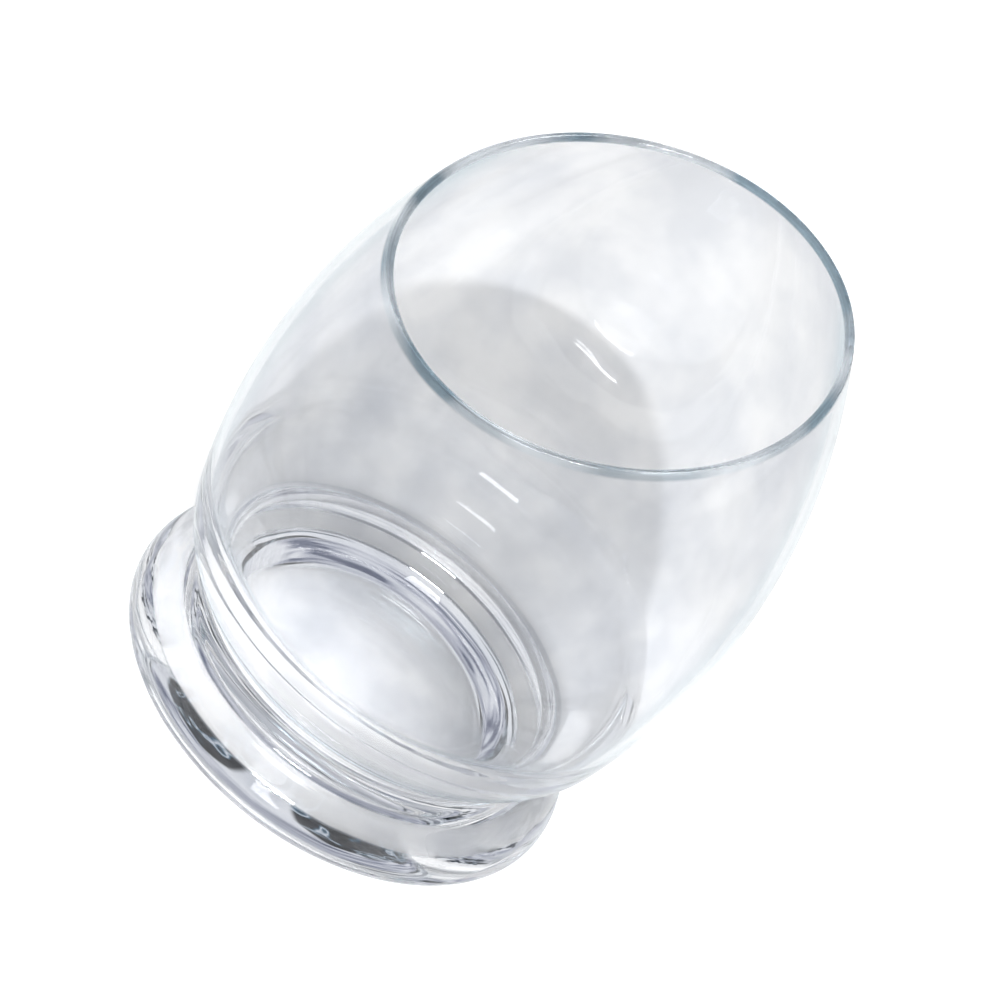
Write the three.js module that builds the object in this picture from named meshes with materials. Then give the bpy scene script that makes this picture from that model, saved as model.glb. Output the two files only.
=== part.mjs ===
// Low-footed brandy snifter in clear glass, with its rim cut on a slant.
// Millimetres, +Z up along the axis of the glass, origin at the centre of the plane it stands on.
// +Y points to the high side of the rim, so the glass is alike on both sides of the plane x = 0.
import * as THREE from "three";

// Bowl, outside: a long side arc, then a tight heel that turns in under it towards the waist
const BELLY_RADIUS = 45.2;
const BELLY_HEIGHT = 53.3;
const SIDE_ARC_RADIUS = 112.3;
const HEEL_ARC_RADIUS = 17.2;
const HEEL_CENTRE_HEIGHT = 31.4;
const HEEL_TURN = THREE.MathUtils.degToRad(50.4);

// Bowl, inside: an even wall that thickens below into a funnel with a flat round floor
const WALL = 1.6;
const FLOOR_THICKNESS = 2.7;
const FLOOR_RADIUS = 23;
const FLOOR_ROUND = 12;
const FUNNEL_SLOPE = THREE.MathUtils.degToRad(48);
const FUNNEL_ROUND = 15;

// Rim: the height of its slanted plane on the axis, and its slant from level
const RIM_HEIGHT = 100;
const RIM_SLANT = THREE.MathUtils.degToRad(21.6);

// Short stem: a dished button under the bowl's round bottom, seated in the foot
const STEM_THICKNESS = 2;
const BASE_RADIUS = 20;
const WAIST_FULLNESS = 0.426;

// Foot: a thick domed disc on a flat standing ring, dished on top and hollowed underneath
const FOOT_RADIUS = 41.9;
const FOOT_EDGE_HEIGHT = 3.1;
const FOOT_EDGE_ROUND = 3.2;
const DOME_ACROSS = 16.6;
const DOME_UP = 9.5;
const DOME_TURN = THREE.MathUtils.degToRad(44.8);
const DISH_RADIUS = 16.5;
const DISH_HEIGHT = 5.6;
const HOLLOW_RADIUS = 32.5;
const HOLLOW_DEPTH = 3.5;

// Faceting
const AROUND = 72;
const SIDE_STEPS = 14;
const HEEL_STEPS = 6;
const FUNNEL_STEPS = 4;
const FLOOR_STEPS = 4;
const LIP_STEPS = 6;
const WAIST_STEPS = 8;
const DOME_STEPS = 6;
const EDGE_STEPS = 4;
const HOLLOW_STEPS = 4;

const QUARTER_TURN = Math.PI / 2;
const baseHeight = DISH_HEIGHT + STEM_THICKNESS;
const floorHeight = baseHeight + FLOOR_THICKNESS;
const sideArcCentre = new THREE.Vector2(BELLY_RADIUS - SIDE_ARC_RADIUS, BELLY_HEIGHT);
const domeCentre = new THREE.Vector2(FOOT_RADIUS - DOME_ACROSS, FOOT_EDGE_HEIGHT);

// Points along an arc of an ellipse in the plane of a profile: x is the radius, y the height.
function arc(centre, acrossRadius, upRadius, from, to, steps) {
  const clockwise = to < from;
  const curve = new THREE.EllipseCurve(centre.x, centre.y, acrossRadius, upRadius, from, to, clockwise);
  return curve.getPoints(steps);
}

function direction(angle) {
  return new THREE.Vector2(Math.cos(angle), Math.sin(angle));
}

function angleFrom(centre, point) {
  return Math.atan2(point.y - centre.y, point.x - centre.x);
}

// The centre of the heel arc, which runs on smoothly from the side arc.
function heelCentre() {
  const drop = HEEL_CENTRE_HEIGHT - sideArcCentre.y;
  const reach = Math.sqrt((SIDE_ARC_RADIUS - HEEL_ARC_RADIUS) ** 2 - drop ** 2);
  return new THREE.Vector2(sideArcCentre.x + reach, HEEL_CENTRE_HEIGHT);
}

// The centre of the round between the inside's side arc and its funnel, touching both.
function funnelRoundCentre() {
  const along = direction(FUNNEL_SLOPE);
  const inwards = direction(FUNNEL_SLOPE + QUARTER_TURN);
  const start = new THREE.Vector2(FLOOR_RADIUS, floorHeight).addScaledVector(inwards, FUNNEL_ROUND);
  const fromSide = start.clone().sub(sideArcCentre);
  const distance = SIDE_ARC_RADIUS - WALL - FUNNEL_ROUND;
  const middle = fromSide.dot(along);
  const travel = Math.sqrt(middle ** 2 - fromSide.lengthSq() + distance ** 2) - middle;
  return start.addScaledVector(along, travel);
}

// The waist's hollow line from the dome of the foot up to the heel of the bowl, smooth at both ends.
function waistLine() {
  const heelEnd = direction(-HEEL_TURN).multiplyScalar(HEEL_ARC_RADIUS).add(heelCentre());
  const domeEnd = new THREE.Vector2(
    domeCentre.x + DOME_ACROSS * Math.cos(DOME_TURN),
    domeCentre.y + DOME_UP * Math.sin(DOME_TURN),
  );
  const pull = WAIST_FULLNESS * heelEnd.distanceTo(domeEnd);
  const upDome = new THREE.Vector2(-DOME_ACROSS * Math.sin(DOME_TURN), DOME_UP * Math.cos(DOME_TURN));
  const downHeel = direction(-HEEL_TURN - QUARTER_TURN);
  const curve = new THREE.CubicBezierCurve(
    domeEnd,
    domeEnd.clone().addScaledVector(upDome.normalize(), pull),
    heelEnd.clone().addScaledVector(downHeel, pull),
    heelEnd,
  );
  return curve.getPoints(WAIST_STEPS);
}

// The angle on the side arc at which the middle of the wall meets the slanted rim plane,
// looking towards the given angle around the axis.
function lipAngle(around) {
  const rise = Math.tan(RIM_SLANT) * Math.sin(around);
  const middleRadius = SIDE_ARC_RADIUS - WALL / 2;
  const climb = RIM_HEIGHT + rise * sideArcCentre.x - sideArcCentre.y;
  return Math.atan(rise) + Math.asin(climb / (middleRadius * Math.hypot(1, rise)));
}

const waist = waistLine();
const waistMiddle = WAIST_STEPS / 2;

// The joint faces, from the axis outwards: the bowl's underside and the foot's dished top.
const underside = [
  new THREE.Vector2(0, baseHeight),
  new THREE.Vector2(BASE_RADIUS, baseHeight),
];
const dish = [
  new THREE.Vector2(0, DISH_HEIGHT),
  new THREE.Vector2(DISH_RADIUS, DISH_HEIGHT),
];

// The bowl's half section towards one angle around the axis, from the middle of its underside,
// up the outside from the waist, over the rounded lip and down the inside to the middle of its floor.
function bowlSection(around) {
  const heel = heelCentre();
  const heelTop = angleFrom(sideArcCentre, heel);
  const innerRadius = SIDE_ARC_RADIUS - WALL;
  const funnelRound = funnelRoundCentre();
  const funnelTop = angleFrom(sideArcCentre, funnelRound);
  const funnelTurn = FUNNEL_SLOPE - QUARTER_TURN;
  const floorRound = new THREE.Vector2(
    FLOOR_RADIUS - FLOOR_ROUND * Math.tan(FUNNEL_SLOPE / 2),
    floorHeight + FLOOR_ROUND,
  );
  const lip = lipAngle(around);
  const lipRadius = WALL / 2;
  const lipCentre = direction(lip).multiplyScalar(SIDE_ARC_RADIUS - lipRadius).add(sideArcCentre);
  return [
    ...underside,
    ...waist.slice(waistMiddle, -1),
    ...arc(heel, HEEL_ARC_RADIUS, HEEL_ARC_RADIUS, -HEEL_TURN, heelTop, HEEL_STEPS).slice(0, -1),
    ...arc(sideArcCentre, SIDE_ARC_RADIUS, SIDE_ARC_RADIUS, heelTop, lip, SIDE_STEPS).slice(0, -1),
    ...arc(lipCentre, lipRadius, lipRadius, lip, lip + Math.PI, LIP_STEPS).slice(0, -1),
    ...arc(sideArcCentre, innerRadius, innerRadius, lip, funnelTop, SIDE_STEPS).slice(0, -1),
    ...arc(funnelRound, FUNNEL_ROUND, FUNNEL_ROUND, funnelTop, funnelTurn, FUNNEL_STEPS),
    ...arc(floorRound, FLOOR_ROUND, FLOOR_ROUND, funnelTurn, -QUARTER_TURN, FLOOR_STEPS),
    new THREE.Vector2(0, floorHeight),
  ];
}

// A closed body lofted around the axis through half sections that may differ from angle to angle.
// Each section starts and ends on the axis.
function loftAround(sectionAt) {
  const sections = Array.from({ length: AROUND }, (_, i) => {
    const around = (2 * Math.PI * i) / AROUND;
    return { around, points: sectionAt(around) };
  });
  const rows = sections[0].points.length - 2;
  const first = sections[0].points[0];
  const last = sections[0].points[rows + 1];
  const positions = [0, 0, first.y, 0, 0, last.y];
  for (const { around, points } of sections) {
    for (const point of points.slice(1, -1)) {
      positions.push(point.x * Math.cos(around), point.x * Math.sin(around), point.y);
    }
  }
  const index = [];
  for (let i = 0; i < AROUND; i += 1) {
    const here = 2 + i * rows;
    const next = 2 + ((i + 1) % AROUND) * rows;
    index.push(0, next, here);
    for (let row = 0; row < rows - 1; row += 1) {
      index.push(here + row, next + row, next + row + 1);
      index.push(here + row, next + row + 1, here + row + 1);
    }
    index.push(1, here + rows - 1, next + rows - 1);
  }
  const geometry = new THREE.BufferGeometry();
  geometry.setAttribute("position", new THREE.Float32BufferAttribute(positions, 3));
  geometry.setIndex(index);
  geometry.computeVertexNormals();
  return geometry;
}

// A turned body about +Z from a half section that starts and ends on the axis.
function turned(points) {
  return new THREE.LatheGeometry(points, AROUND).rotateX(QUARTER_TURN);
}

function clearGlass(colour) {
  return new THREE.MeshStandardMaterial({
    color: colour,
    roughness: 0.02,
    metalness: 0,
    transparent: true,
    opacity: 0.35,
  });
}

function piece(name, geometry, material) {
  const mesh = new THREE.Mesh(geometry, material);
  mesh.name = name;
  return mesh;
}

// The blown bowl, thick in the floor and thin at the fire-polished lip. It ends below at the waist.
function makeBowl() {
  return piece("bowl", loftAround(bowlSection), clearGlass("#e4e7ef"));
}

// The button between the bowl and the foot. Its edge is the lower half of the waist's hollow.
function makeShortStem() {
  const section = [
    ...dish,
    ...waist.slice(0, waistMiddle + 1),
    ...underside.toReversed(),
  ];
  return piece("short_stem", turned(section), clearGlass("#e8eaf0"));
}

// The pressed foot: hollowed underneath, rounded at its edge and domed up to the stem in its dish.
function makeFoot() {
  const edgeCentre = new THREE.Vector2(FOOT_RADIUS - FOOT_EDGE_ROUND, FOOT_EDGE_HEIGHT);
  const hollowArcRadius = (HOLLOW_RADIUS ** 2 + HOLLOW_DEPTH ** 2) / (2 * HOLLOW_DEPTH);
  const hollowCentre = new THREE.Vector2(0, HOLLOW_DEPTH - hollowArcRadius);
  const hollowTurn = Math.acos(HOLLOW_RADIUS / hollowArcRadius);
  const section = [
    ...arc(hollowCentre, hollowArcRadius, hollowArcRadius, QUARTER_TURN, hollowTurn, HOLLOW_STEPS),
    ...arc(edgeCentre, FOOT_EDGE_ROUND, FOOT_EDGE_HEIGHT, -QUARTER_TURN, 0, EDGE_STEPS).slice(0, -1),
    ...arc(domeCentre, DOME_ACROSS, DOME_UP, 0, DOME_TURN, DOME_STEPS),
    ...dish.toReversed(),
  ];
  return piece("foot", turned(section), clearGlass("#dfe3ec"));
}

const snifter = new THREE.Group();
snifter.name = "brandy_snifter";
snifter.add(makeFoot(), makeShortStem(), makeBowl());

export default snifter;
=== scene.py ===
import math

import bpy
from mathutils import Matrix, Vector


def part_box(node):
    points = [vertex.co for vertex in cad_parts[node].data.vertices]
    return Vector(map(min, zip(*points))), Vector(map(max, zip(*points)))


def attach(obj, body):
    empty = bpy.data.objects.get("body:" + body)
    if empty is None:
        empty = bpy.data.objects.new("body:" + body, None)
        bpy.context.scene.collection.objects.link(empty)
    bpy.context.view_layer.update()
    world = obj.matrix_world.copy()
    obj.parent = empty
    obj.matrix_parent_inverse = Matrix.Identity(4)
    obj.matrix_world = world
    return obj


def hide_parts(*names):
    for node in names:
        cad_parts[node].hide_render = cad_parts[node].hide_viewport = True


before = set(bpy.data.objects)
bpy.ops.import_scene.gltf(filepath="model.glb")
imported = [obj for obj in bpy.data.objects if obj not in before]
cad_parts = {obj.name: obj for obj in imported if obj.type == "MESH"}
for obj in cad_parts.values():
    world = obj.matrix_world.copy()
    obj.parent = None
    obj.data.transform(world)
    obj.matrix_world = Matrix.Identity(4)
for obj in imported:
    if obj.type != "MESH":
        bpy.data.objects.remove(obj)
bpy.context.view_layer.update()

# Low-footed brandy snifter in clear glass. Metres, +Z up, +Y towards the high side of the rim.
MM = 0.001

# Sizes that the solids' boxes give
_, foot_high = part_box("foot")
stem_low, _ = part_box("short_stem")
bowl_low, bowl_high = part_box("bowl")
FOOT_RADIUS = foot_high[0]
DISH_HEIGHT = stem_low[2]
BASE_HEIGHT = bowl_low[2]
BELLY_RADIUS = bowl_high[0]

# Sizes inside the boxes, as the solids have them, except the hollow's
BELLY_HEIGHT = 53.3 * MM
SIDE_ARC_RADIUS = 112.3 * MM
HEEL_ARC_RADIUS = 17.2 * MM
HEEL_CENTRE_HEIGHT = 31.4 * MM
HEEL_TURN = math.radians(50.4)
WALL = 1.6 * MM
FLOOR_HEIGHT = BASE_HEIGHT + 2.7 * MM
FLOOR_RADIUS = 23 * MM
FLOOR_ROUND = 12 * MM
FUNNEL_SLOPE = math.radians(48)
FUNNEL_ROUND = 15 * MM
RIM_HEIGHT = 100 * MM
RIM_SLANT = math.radians(21.6)
BASE_RADIUS = 20 * MM
WAIST_FULLNESS = 0.426
FOOT_EDGE_HEIGHT = 3.1 * MM
FOOT_EDGE_ROUND = 3.2 * MM
DOME_ACROSS = 16.6 * MM
DOME_UP = 9.5 * MM
DOME_TURN = math.radians(44.8)
DISH_RADIUS = 16.5 * MM
HOLLOW_RADIUS = 36 * MM
HOLLOW_DEPTH = 3 * MM

# Fineness of the surfaces
AROUND = 240
SIDE_STEPS = 60
HEEL_STEPS = 30
WAIST_STEPS = 32
FUNNEL_STEPS = 20
LIP_STEPS = 16
DOME_STEPS = 30
EDGE_STEPS = 16
HOLLOW_STEPS = 16
LINE_STEPS = 8

# Glass: a cloudy haze all over, slight waves, a pale blue outline painted where the glass is seen edge-on,
# and a blue-grey lip with dark flecks painted in as the rim's reflections
GLASS_IOR = 1.52
CLOUD_SCALE = 70
CLOUD_DETAIL = 6
CLOUD_TINTS = [(0.36, (0.8, 0.815, 0.845, 1)), (0.62, (0.955, 0.958, 0.964, 1))]
WAVES_SCALE = 110
WAVES_DETAIL = 0
WAVES_HEIGHT = 0.03 * MM
# A pale blue tint painted at the outline, where the glass is seen edge-on: its reach and colour
EDGE_REACH = (0.64, 0.92)
PAINTED_EDGE_TINT = (0.63, 0.75, 0.81, 1)
# A blue-grey lip with dark flecks, painted in as the rim's reflections: its depth, mottle and tints
LIP_DEPTH = 0.5 * MM
LIP_SCALE = 55
LIP_DETAIL = 1
PAINTED_LIP_TINTS = [(0.4, (0.09, 0.16, 0.21, 1)), (0.6, (0.78, 0.85, 0.89, 1))]

# Camera, from the photograph's outline
CAMERA_AZIMUTH = math.radians(37.66)
CAMERA_ELEVATION = math.radians(33.33)
CAMERA_ROLL = math.radians(38.2)
CAMERA_DISTANCE = 0.489
CAMERA_AIM = Vector((0.0006, 0.0005, 0.0516))
CAMERA_LENS = 108
SENSOR = 36

# Light paths: many through glass, some through the fused joints
GLASS_BOUNCES = 96
JOINT_BOUNCES = 32

# Studio. The floor's white is for the camera only and grows between two distances, in metres.
WHITE = (1, 1, 1, 1)
FLOOR_GAP = 0.2 * MM
FLOOR_SIZE = 6
FLOOR_COLOUR = (0.74, 0.745, 0.748, 1)
FLOOR_FILL = 0.21
FLOOR_WHITE = 0.33
FAR_WHITE = 0.4
FAR_REACH = (0.25, 1.2)

# Painted pools of light on the floor, glowing where the glass would gather light: strength, centre, and
# where it starts and ends to fade
PAINTED_CAUSTIC_GLOW = [
    (0.72, (-7 * MM, -12 * MM, -FLOOR_GAP), 8 * MM, 43 * MM),
    (0.3, (4 * MM, 78 * MM, -FLOOR_GAP), 12 * MM, 44 * MM),
]

WORLD_LIGHT = 0.38
WORLD_COLOUR = (0.985, 0.99, 1, 1)

# Lamps: name, place, sizes across the camera's heading and upwards, watts
LAMPS = [
    ("key", (1.364, -1.625, 2.121), (1, 0.3), 22),
    ("core", (1.468, -1.631, 2.046), (0.1, 0.05), 54),
    ("overhead", (0, 0, 2.5), (0.6, 0.6), 14),
]

# Surroundings that show only in the glass. A patch has its headings, in degrees left of the camera's,
# and its elevations in degrees.
HAZE = (-200, 200, 3, 100)
HAZE_SOFT = 6
HAZE_COLOUR = (0.82, 0.84, 0.88, 1)
FRONT = [(100, 220, 24, 100), (-220, -100, 24, 100)]
FRONT_SOFT = 10
FRONT_COLOUR = (0.26, 0.27, 0.29, 1)
DIM = (-75, 22, 19, 42)
DIM_SOFT = 4
DIM_TONES = [
    (0.4, (0.1, 0.12, 0.2, 1)),
    (0.48, (0.42, 0.44, 0.53, 1)),
    (0.6, (0.76, 0.78, 0.83, 1)),
]
DIM_SCALE = 26
DIM_DETAIL = 1
DIM_STRETCH = 0.2
CARDS = [
    (8, 48, 42, 63),
    (-60, -8.5, 42, 63),
    (-19.5, -15.5, 40, 44),
    (-55, -27, 38, 43),
    (-36, -18, 8, 22),
]
CARD_SOFT = 1.2
CARD_TONES = [
    (0.55, (0.002, 0.003, 0.005, 1)),
    (0.58, (0.07, 0.15, 0.22, 1)),
    (0.61, (0.7, 0.74, 0.8, 1)),
    (0.64, (0.07, 0.15, 0.22, 1)),
    (0.67, (0.002, 0.003, 0.005, 1)),
]
CARD_SCALE = 11
CARD_DETAIL = 1
LINES = (-110, 110, 2, 19)
LINES_SOFT = 3
LINES_SHARE = (0.5, 0.54)
LINES_SCALE = 9
LINES_DETAIL = 2
LINES_COLOUR = (0.01, 0.02, 0.035, 1)

QUARTER_TURN = math.pi / 2
SIDE_CENTRE = Vector((BELLY_RADIUS - SIDE_ARC_RADIUS, BELLY_HEIGHT))
DOME_CENTRE = Vector((FOOT_RADIUS - DOME_ACROSS, FOOT_EDGE_HEIGHT))


def arc(centre, across, up, start, end, steps):
    """Points of an arc of an ellipse in a half section: (radius, height)."""
    angles = [start + (end - start) * i / steps for i in range(steps + 1)]
    return [Vector((centre[0] + across * math.cos(a), centre[1] + up * math.sin(a))) for a in angles]


def line(start, end, steps=LINE_STEPS):
    """Points of a straight stretch of a half section."""
    return [Vector(start).lerp(Vector(end), i / steps) for i in range(steps + 1)]


def direction(angle):
    return Vector((math.cos(angle), math.sin(angle)))


def heel_centre():
    """The centre of the heel arc, which runs on smoothly from the side arc."""
    drop = HEEL_CENTRE_HEIGHT - SIDE_CENTRE.y
    reach = math.sqrt((SIDE_ARC_RADIUS - HEEL_ARC_RADIUS) ** 2 - drop ** 2)
    return Vector((SIDE_CENTRE.x + reach, HEEL_CENTRE_HEIGHT))


def funnel_round_centre():
    """The centre of the round between the inside's side arc and its funnel, touching both."""
    along = direction(FUNNEL_SLOPE)
    start = Vector((FLOOR_RADIUS, FLOOR_HEIGHT)) + FUNNEL_ROUND * direction(FUNNEL_SLOPE + QUARTER_TURN)
    from_side = start - SIDE_CENTRE
    distance = SIDE_ARC_RADIUS - WALL - FUNNEL_ROUND
    middle = from_side.dot(along)
    travel = math.sqrt(middle ** 2 - from_side.length_squared + distance ** 2) - middle
    return start + travel * along


def waist_line():
    """The waist's hollow line from the dome of the foot up to the heel of the bowl, smooth at both ends."""
    dome_end = DOME_CENTRE + Vector((DOME_ACROSS * math.cos(DOME_TURN), DOME_UP * math.sin(DOME_TURN)))
    heel_end = heel_centre() + HEEL_ARC_RADIUS * direction(-HEEL_TURN)
    pull = WAIST_FULLNESS * (heel_end - dome_end).length
    up_dome = Vector((-DOME_ACROSS * math.sin(DOME_TURN), DOME_UP * math.cos(DOME_TURN))).normalized()
    down_heel = direction(-HEEL_TURN - QUARTER_TURN)
    knots = [dome_end, dome_end + pull * up_dome, heel_end + pull * down_heel, heel_end]
    points = []
    for i in range(WAIST_STEPS + 1):
        t = i / WAIST_STEPS
        weights = [(1 - t) ** 3, 3 * t * (1 - t) ** 2, 3 * t ** 2 * (1 - t), t ** 3]
        points.append(sum((w * k for w, k in zip(weights, knots)), Vector((0, 0))))
    return points


WAIST = waist_line()
WAIST_MIDDLE = WAIST_STEPS // 2


def lip_angle(around):
    """The angle on the side arc at which the middle of the wall meets the slanted rim plane."""
    rise = math.tan(RIM_SLANT) * math.sin(around)
    climb = RIM_HEIGHT + rise * SIDE_CENTRE.x - SIDE_CENTRE.y
    return math.atan(rise) + math.asin(climb / ((SIDE_ARC_RADIUS - WALL / 2) * math.hypot(1, rise)))


def bowl_section(around):
    """The bowl's half section, from its underside up the outside, over the lip and down to the floor."""
    heel = heel_centre()
    heel_top = math.atan2(heel.y - SIDE_CENTRE.y, heel.x - SIDE_CENTRE.x)
    inner_radius = SIDE_ARC_RADIUS - WALL
    funnel = funnel_round_centre()
    funnel_top = math.atan2(funnel.y - SIDE_CENTRE.y, funnel.x - SIDE_CENTRE.x)
    funnel_turn = FUNNEL_SLOPE - QUARTER_TURN
    floor_round = (FLOOR_RADIUS - FLOOR_ROUND * math.tan(FUNNEL_SLOPE / 2), FLOOR_HEIGHT + FLOOR_ROUND)
    lip = lip_angle(around)
    half_wall = WALL / 2
    lip_centre = SIDE_CENTRE + (SIDE_ARC_RADIUS - half_wall) * direction(lip)
    upper_round = arc(funnel, FUNNEL_ROUND, FUNNEL_ROUND, funnel_top, funnel_turn, FUNNEL_STEPS)
    lower_round = arc(floor_round, FLOOR_ROUND, FLOOR_ROUND, funnel_turn, -QUARTER_TURN, FUNNEL_STEPS)
    return [
        line((0, BASE_HEIGHT), (BASE_RADIUS, BASE_HEIGHT)),
        line((BASE_RADIUS, BASE_HEIGHT), WAIST[WAIST_MIDDLE]),
        WAIST[WAIST_MIDDLE:],
        arc(heel, HEEL_ARC_RADIUS, HEEL_ARC_RADIUS, -HEEL_TURN, heel_top, HEEL_STEPS),
        arc(SIDE_CENTRE, SIDE_ARC_RADIUS, SIDE_ARC_RADIUS, heel_top, lip, SIDE_STEPS),
        arc(lip_centre, half_wall, half_wall, lip, lip + math.pi, LIP_STEPS),
        arc(SIDE_CENTRE, inner_radius, inner_radius, lip, funnel_top, SIDE_STEPS),
        upper_round,
        line(upper_round[-1], lower_round[0]),
        lower_round,
        line(lower_round[-1], (0, FLOOR_HEIGHT)),
    ]


def stem_section(around):
    """The stem's half section, the same all round: a dished button below the waist's middle."""
    return [
        line((0, DISH_HEIGHT), (DISH_RADIUS, DISH_HEIGHT)),
        line((DISH_RADIUS, DISH_HEIGHT), WAIST[0]),
        WAIST[:WAIST_MIDDLE + 1],
        line(WAIST[WAIST_MIDDLE], (BASE_RADIUS, BASE_HEIGHT)),
        line((BASE_RADIUS, BASE_HEIGHT), (0, BASE_HEIGHT)),
    ]


def foot_section(around):
    """The foot's half section, the same all round: hollowed below, with a round edge and a dome."""
    hollow_radius = (HOLLOW_RADIUS ** 2 + HOLLOW_DEPTH ** 2) / (2 * HOLLOW_DEPTH)
    hollow = (0, HOLLOW_DEPTH - hollow_radius)
    hollow_turn = math.acos(HOLLOW_RADIUS / hollow_radius)
    edge = (FOOT_RADIUS - FOOT_EDGE_ROUND, FOOT_EDGE_HEIGHT)
    return [
        arc(hollow, hollow_radius, hollow_radius, QUARTER_TURN, hollow_turn, HOLLOW_STEPS),
        line((HOLLOW_RADIUS, 0), (edge[0], 0)),
        arc(edge, FOOT_EDGE_ROUND, FOOT_EDGE_HEIGHT, -QUARTER_TURN, 0, EDGE_STEPS),
        arc(DOME_CENTRE, DOME_ACROSS, DOME_UP, 0, DOME_TURN, DOME_STEPS),
        line(WAIST[0], (DISH_RADIUS, DISH_HEIGHT)),
        line((DISH_RADIUS, DISH_HEIGHT), (0, DISH_HEIGHT)),
    ]


def turned_piece(name, section_at, joint_stretches, materials):
    """A closed mesh lofted around the axis. The listed stretches of its section take the joint material."""
    stretches = section_at(0)
    slots = [int(i in joint_stretches) for i, part in enumerate(stretches) for _ in part[1:]]
    columns = []
    for step in range(AROUND):
        around = 2 * math.pi * step / AROUND
        points = [stretches[0][0]] + [p for part in section_at(around) for p in part[1:]]
        columns.append([(p.x * math.cos(around), p.x * math.sin(around), p.y) for p in points[1:-1]])
    rows = len(columns[0])
    first = stretches[0][0]
    last = stretches[-1][-1]
    vertices = [(0, 0, first.y), (0, 0, last.y)] + [p for column in columns for p in column]
    faces = []
    face_slots = []
    for step in range(AROUND):
        here = 2 + step * rows
        following = 2 + (step + 1) % AROUND * rows
        faces.append((0, following, here))
        face_slots.append(slots[0])
        for row in range(rows - 1):
            faces.append((here + row, following + row, following + row + 1, here + row + 1))
            face_slots.append(slots[row + 1])
        faces.append((1, here + rows - 1, following + rows - 1))
        face_slots.append(slots[-1])
    mesh = bpy.data.meshes.new(name)
    mesh.from_pydata(vertices, [], faces)
    for material in materials:
        mesh.materials.append(material)
    mesh.polygons.foreach_set("material_index", face_slots)
    mesh.polygons.foreach_set("use_smooth", [True] * len(faces))
    mesh.update()
    sharpen_joint_edges(mesh)
    piece = bpy.data.objects.new(name, mesh)
    bpy.context.scene.collection.objects.link(piece)
    return piece


def sharpen_joint_edges(mesh):
    """Keeps the shading of the outer surfaces apart from that of the joint faces."""
    slots_at = {}
    for face in mesh.polygons:
        for key in face.edge_keys:
            slots_at.setdefault(key, set()).add(face.material_index)
    for edge in mesh.edges:
        edge.use_edge_sharp = len(slots_at[edge.key]) > 1


def new_material(name):
    """A material with an empty node tree and its output."""
    material = bpy.data.materials.new(name)
    material.use_nodes = True
    tree = material.node_tree
    tree.nodes.clear()
    output = tree.nodes.new("ShaderNodeOutputMaterial")
    return material, tree, output


def noise(tree, coordinates, scale, detail):
    texture = tree.nodes.new("ShaderNodeTexNoise")
    texture.inputs["Scale"].default_value = scale
    texture.inputs["Detail"].default_value = detail
    tree.links.new(coordinates, texture.inputs["Vector"])
    return texture.outputs["Fac"]


def colour_ramp(tree, value, stops):
    ramp = tree.nodes.new("ShaderNodeValToRGB")
    elements = ramp.color_ramp.elements
    for element, (position, colour) in zip(elements, (stops[0], stops[-1])):
        element.position = position
        element.color = colour
    for position, colour in stops[1:-1]:
        elements.new(position).color = colour
    tree.links.new(value, ramp.inputs["Fac"])
    return ramp.outputs["Color"]


def clear_glass():
    """Clear glass with a faint cloudy haze, slight waves, a pale blue outline painted where it is seen
    edge-on, and a blue-grey lip with dark flecks painted in as the rim's reflections.
    """
    material, tree, output = new_material("clear_glass")
    place = tree.nodes.new("ShaderNodeTexCoord").outputs["Object"]
    glass = tree.nodes.new("ShaderNodeBsdfPrincipled")
    haze_and_painted_edge = colour_ramp(tree, noise(tree, place, CLOUD_SCALE, CLOUD_DETAIL), CLOUD_TINTS)
    # A pale blue tint painted where the glass is seen edge-on, standing in for the reflections at its
    # outline
    facing = tree.nodes.new("ShaderNodeLayerWeight").outputs["Facing"]
    haze_and_painted_edge = blend_colour(tree, smooth_step(tree, facing, *EDGE_REACH), haze_and_painted_edge, PAINTED_EDGE_TINT)
    # The lip's blue-grey tint with dark flecks is painted in, standing in for the reflections the rim shows
    lip = colour_ramp(tree, noise(tree, place, LIP_SCALE, LIP_DETAIL), PAINTED_LIP_TINTS)
    rim = tree.nodes.new("ShaderNodeVectorMath")
    rim.operation = "DOT_PRODUCT"
    rim.inputs[1].default_value = (0, -math.sin(RIM_SLANT), math.cos(RIM_SLANT))
    tree.links.new(place, rim.inputs[0])
    top = RIM_HEIGHT * math.cos(RIM_SLANT)
    near_lip = smooth_step(tree, rim.outputs["Value"], top - LIP_DEPTH, top)
    tree.links.new(blend_colour(tree, near_lip, haze_and_painted_edge, lip), glass.inputs["Base Color"])
    waves = tree.nodes.new("ShaderNodeBump")
    waves.inputs["Distance"].default_value = WAVES_HEIGHT
    tree.links.new(noise(tree, place, WAVES_SCALE, WAVES_DETAIL), waves.inputs["Height"])
    tree.links.new(waves.outputs["Normal"], glass.inputs["Normal"])
    glass.inputs["Roughness"].default_value = 0
    glass.inputs["IOR"].default_value = GLASS_IOR
    glass.inputs["Transmission Weight"].default_value = 1
    tree.links.new(glass.outputs["BSDF"], output.inputs["Surface"])
    return material


def fused_joint():
    """Where two pieces were joined hot, light passes from one to the other as inside one glass."""
    material, tree, output = new_material("fused_joint")
    through = tree.nodes.new("ShaderNodeBsdfTransparent")
    tree.links.new(through.outputs["BSDF"], output.inputs["Surface"])
    return material


def calculate(tree, operation, first, second):
    """A Math node on two sockets or numbers."""
    node = tree.nodes.new("ShaderNodeMath")
    node.operation = operation
    for socket, value in zip(node.inputs, (first, second)):
        if isinstance(value, bpy.types.NodeSocket):
            tree.links.new(value, socket)
        else:
            socket.default_value = value
    return node.outputs["Value"]


def light_path(tree, name):
    return tree.nodes.new("ShaderNodeLightPath").outputs[name]


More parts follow.
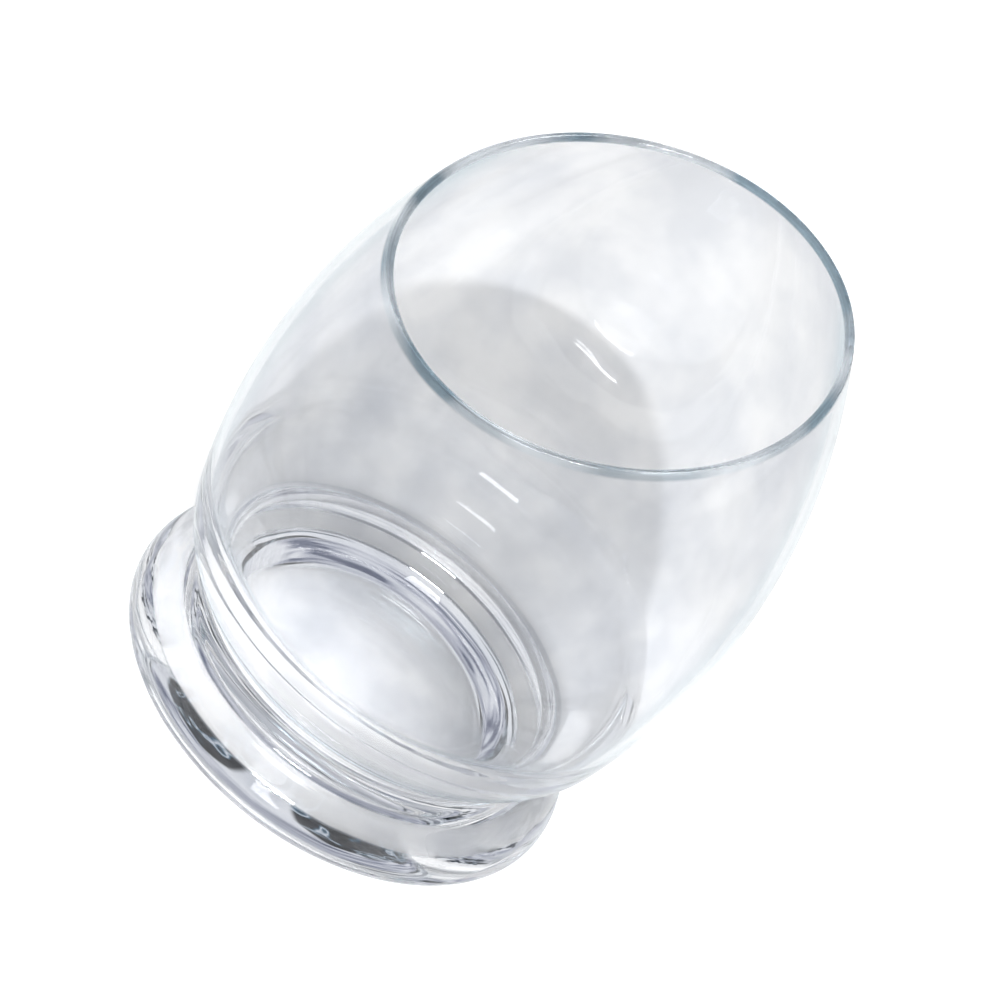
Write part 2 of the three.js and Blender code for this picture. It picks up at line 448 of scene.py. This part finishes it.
def seen_directly(tree):
    """A socket that is 1 for camera, glossy and transmission rays and 0 for the rest."""
    mirrored = light_path(tree, "Is Glossy Ray")
    in_glass = calculate(tree, "MAXIMUM", mirrored, light_path(tree, "Is Transmission Ray"))
    return calculate(tree, "MAXIMUM", light_path(tree, "Is Camera Ray"), in_glass)


def smooth_step(tree, value, low, high):
    step = tree.nodes.new("ShaderNodeMapRange")
    step.interpolation_type = "SMOOTHSTEP"
    step.inputs["From Min"].default_value = low
    step.inputs["From Max"].default_value = high
    tree.links.new(value, step.inputs["Value"])
    return step.outputs["Result"]


def between(tree, value, low, high, soft):
    """1 between two angles in degrees and 0 outside them, with soft edges."""
    low, high, soft = (math.radians(angle) for angle in (low, high, soft))
    rise = smooth_step(tree, value, low - soft, low + soft)
    fall = smooth_step(tree, value, high - soft, high + soft)
    return calculate(tree, "SUBTRACT", rise, fall)


def patch(tree, angles, extent, soft):
    """1 inside a patch of the surroundings: headings from and to, elevations from and to."""
    heading, elevation = angles
    across = between(tree, heading, extent[0], extent[1], soft)
    upwards = between(tree, elevation, extent[2], extent[3], soft)
    return calculate(tree, "MULTIPLY", across, upwards)


def blend_colour(tree, share, first, second):
    mix = tree.nodes.new("ShaderNodeMix")
    mix.data_type = "RGBA"
    inputs = [socket for socket in mix.inputs if socket.type == "RGBA"]
    tree.links.new(share, mix.inputs["Factor"])
    for socket, value in zip(inputs, (first, second)):
        if isinstance(value, bpy.types.NodeSocket):
            tree.links.new(value, socket)
        else:
            socket.default_value = value
    return next(socket for socket in mix.outputs if socket.type == "RGBA")


def surroundings(tree):
    """What the glass shows of the room, and white for the camera.

    A pale haze stands above a white horizon, darker on the camera's side. Behind the glass there are
    dim streaks, thin dark lines and dark cards.
    """
    direction_seen = tree.nodes.new("ShaderNodeTexCoord").outputs["Generated"]
    turn = tree.nodes.new("ShaderNodeVectorRotate")
    turn.rotation_type = "Z_AXIS"
    turn.inputs["Angle"].default_value = -CAMERA_AZIMUTH - QUARTER_TURN
    tree.links.new(direction_seen, turn.inputs["Vector"])
    split = tree.nodes.new("ShaderNodeSeparateXYZ")
    tree.links.new(turn.outputs["Vector"], split.inputs["Vector"])
    heading = calculate(tree, "ARCTAN2", split.outputs["Y"], split.outputs["X"])
    elevation = calculate(tree, "ARCSINE", split.outputs["Z"], 0)
    angles = (heading, elevation)
    haze = patch(tree, angles, HAZE, HAZE_SOFT)
    colour = blend_colour(tree, haze, WHITE, HAZE_COLOUR)
    for extent in FRONT:
        colour = blend_colour(tree, patch(tree, angles, extent, FRONT_SOFT), colour, FRONT_COLOUR)
    level = tree.nodes.new("ShaderNodeCombineXYZ")
    tree.links.new(calculate(tree, "MULTIPLY", heading, DIM_STRETCH), level.inputs["X"])
    tree.links.new(elevation, level.inputs["Y"])
    streaks = colour_ramp(tree, noise(tree, level.outputs["Vector"], DIM_SCALE, DIM_DETAIL), DIM_TONES)
    colour = blend_colour(tree, patch(tree, angles, DIM, DIM_SOFT), colour, streaks)
    lines = smooth_step(tree, noise(tree, direction_seen, LINES_SCALE, LINES_DETAIL), *LINES_SHARE)
    lines = calculate(tree, "MULTIPLY", lines, patch(tree, angles, LINES, LINES_SOFT))
    colour = blend_colour(tree, lines, colour, LINES_COLOUR)
    tones = colour_ramp(tree, noise(tree, direction_seen, CARD_SCALE, CARD_DETAIL), CARD_TONES)
    for extent in CARDS:
        colour = blend_colour(tree, patch(tree, angles, extent, CARD_SOFT), colour, tones)
    return blend_colour(tree, light_path(tree, "Is Camera Ray"), colour, WHITE)


def make_glass_pieces():
    glass = clear_glass()
    joint = fused_joint()
    pieces = [
        ("snifter_bowl", "bowl", bowl_section, {0, 1}),
        ("snifter_stem", "short_stem", stem_section, {0, 1, 3, 4}),
        ("snifter_foot", "foot", foot_section, {4, 5}),
    ]
    for name, node, section_at, joints in pieces:
        piece = turned_piece(name, section_at, joints, [glass, joint])
        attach(piece, "root")
        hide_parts(node)


def away_from(tree, centre, inside, outside):
    """0 around a place and 1 farther away from it."""
    distance = tree.nodes.new("ShaderNodeVectorMath")
    distance.operation = "DISTANCE"
    distance.inputs[1].default_value = centre
    tree.links.new(tree.nodes.new("ShaderNodeTexCoord").outputs["Object"], distance.inputs[0])
    return smooth_step(tree, distance.outputs["Value"], inside, outside)


def make_floor():
    """A pale floor just below the foot, with a glow that the camera and the glass see, and painted pools of
    light that stand in for light the glass gathers.
    """
    material, tree, output = new_material("pale_floor")
    surface = tree.nodes.new("ShaderNodeBsdfDiffuse")
    surface.inputs["Color"].default_value = FLOOR_COLOUR
    glow = tree.nodes.new("ShaderNodeEmission")
    glow.inputs["Color"].default_value = WHITE
    fill = calculate(tree, "MULTIPLY", seen_directly(tree), FLOOR_FILL)
    far = calculate(tree, "MULTIPLY", away_from(tree, (0, 0, 0), *FAR_REACH), FAR_WHITE)
    white = calculate(tree, "ADD", far, FLOOR_WHITE)
    white = calculate(tree, "MULTIPLY", light_path(tree, "Is Camera Ray"), white)
    total = calculate(tree, "ADD", fill, white)
    # Painted pools of light: emission patches on the floor, seen by the camera and the glass, where the
    # glass would gather light
    for strength, centre, inside, outside in PAINTED_CAUSTIC_GLOW:
        near = calculate(tree, "SUBTRACT", 1, away_from(tree, centre, inside, outside))
        painted_glow = calculate(tree, "MULTIPLY", near, strength)
        painted_glow = calculate(tree, "MULTIPLY", painted_glow, seen_directly(tree))
        total = calculate(tree, "ADD", total, painted_glow)
    tree.links.new(total, glow.inputs["Strength"])
    both = tree.nodes.new("ShaderNodeAddShader")
    tree.links.new(surface.outputs["BSDF"], both.inputs[0])
    tree.links.new(glow.outputs["Emission"], both.inputs[1])
    tree.links.new(both.outputs["Shader"], output.inputs["Surface"])
    half = FLOOR_SIZE / 2
    ground = -FLOOR_GAP
    corners = [(-half, -half, ground), (half, -half, ground), (half, half, ground), (-half, half, ground)]
    mesh = bpy.data.meshes.new("floor")
    mesh.from_pydata(corners, [], [(0, 1, 2, 3)])
    mesh.materials.append(material)
    floor = bpy.data.objects.new("floor", mesh)
    bpy.context.scene.collection.objects.link(floor)


def make_world():
    """An even light for the floor, and the surroundings for the camera and the glass."""
    world = bpy.data.worlds.new("studio")
    bpy.context.scene.world = world
    world.use_nodes = True
    tree = world.node_tree
    tree.nodes.clear()
    output = tree.nodes.new("ShaderNodeOutputWorld")
    light = tree.nodes.new("ShaderNodeBackground")
    light.inputs["Color"].default_value = WORLD_COLOUR
    light.inputs["Strength"].default_value = WORLD_LIGHT
    backdrop = tree.nodes.new("ShaderNodeBackground")
    backdrop.inputs["Strength"].default_value = 1
    tree.links.new(surroundings(tree), backdrop.inputs["Color"])
    mix = tree.nodes.new("ShaderNodeMixShader")
    tree.links.new(seen_directly(tree), mix.inputs["Fac"])
    tree.links.new(light.outputs["Background"], mix.inputs[1])
    tree.links.new(backdrop.outputs["Background"], mix.inputs[2])
    tree.links.new(mix.outputs["Shader"], output.inputs["Surface"])


def make_lamp(name, place, size, watts):
    """A rectangular lamp that looks at the glass, its first side level and across the camera's heading."""
    lamp = bpy.data.lights.new(name, "AREA")
    lamp.shape = "RECTANGLE"
    lamp.size, lamp.size_y = size
    lamp.energy = watts
    holder = bpy.data.objects.new(name, lamp)
    out = Vector(place).normalized()
    across = Vector((math.cos(CAMERA_AZIMUTH), math.sin(CAMERA_AZIMUTH), 0))
    across = (across - across.dot(out) * out).normalized()
    turn = Matrix((across, out.cross(across), out)).transposed()
    holder.matrix_world = Matrix.Translation(place) @ turn.to_4x4()
    bpy.context.scene.collection.objects.link(holder)


def make_camera():
    camera = bpy.data.cameras.new("camera")
    camera.sensor_width = SENSOR
    camera.lens = CAMERA_LENS
    holder = bpy.data.objects.new("camera", camera)
    level = math.cos(CAMERA_ELEVATION)
    across = math.sin(CAMERA_AZIMUTH) * level
    along = -math.cos(CAMERA_AZIMUTH) * level
    back = Vector((across, along, math.sin(CAMERA_ELEVATION)))
    upright = (-back).to_track_quat("-Z", "Y").to_matrix().to_4x4()
    roll = Matrix.Rotation(CAMERA_ROLL, 4, "Z")
    holder.matrix_world = Matrix.Translation(CAMERA_AIM + CAMERA_DISTANCE * back) @ upright @ roll
    bpy.context.scene.collection.objects.link(holder)
    bpy.context.scene.camera = holder


scene = bpy.context.scene
scene.view_settings.view_transform = "Standard"
scene.cycles.max_bounces = GLASS_BOUNCES
scene.cycles.transmission_bounces = GLASS_BOUNCES
scene.cycles.glossy_bounces = GLASS_BOUNCES
scene.cycles.transparent_max_bounces = JOINT_BOUNCES

make_camera()
make_glass_pieces()
make_floor()
make_world()
for lamp in LAMPS:
    make_lamp(*lamp)
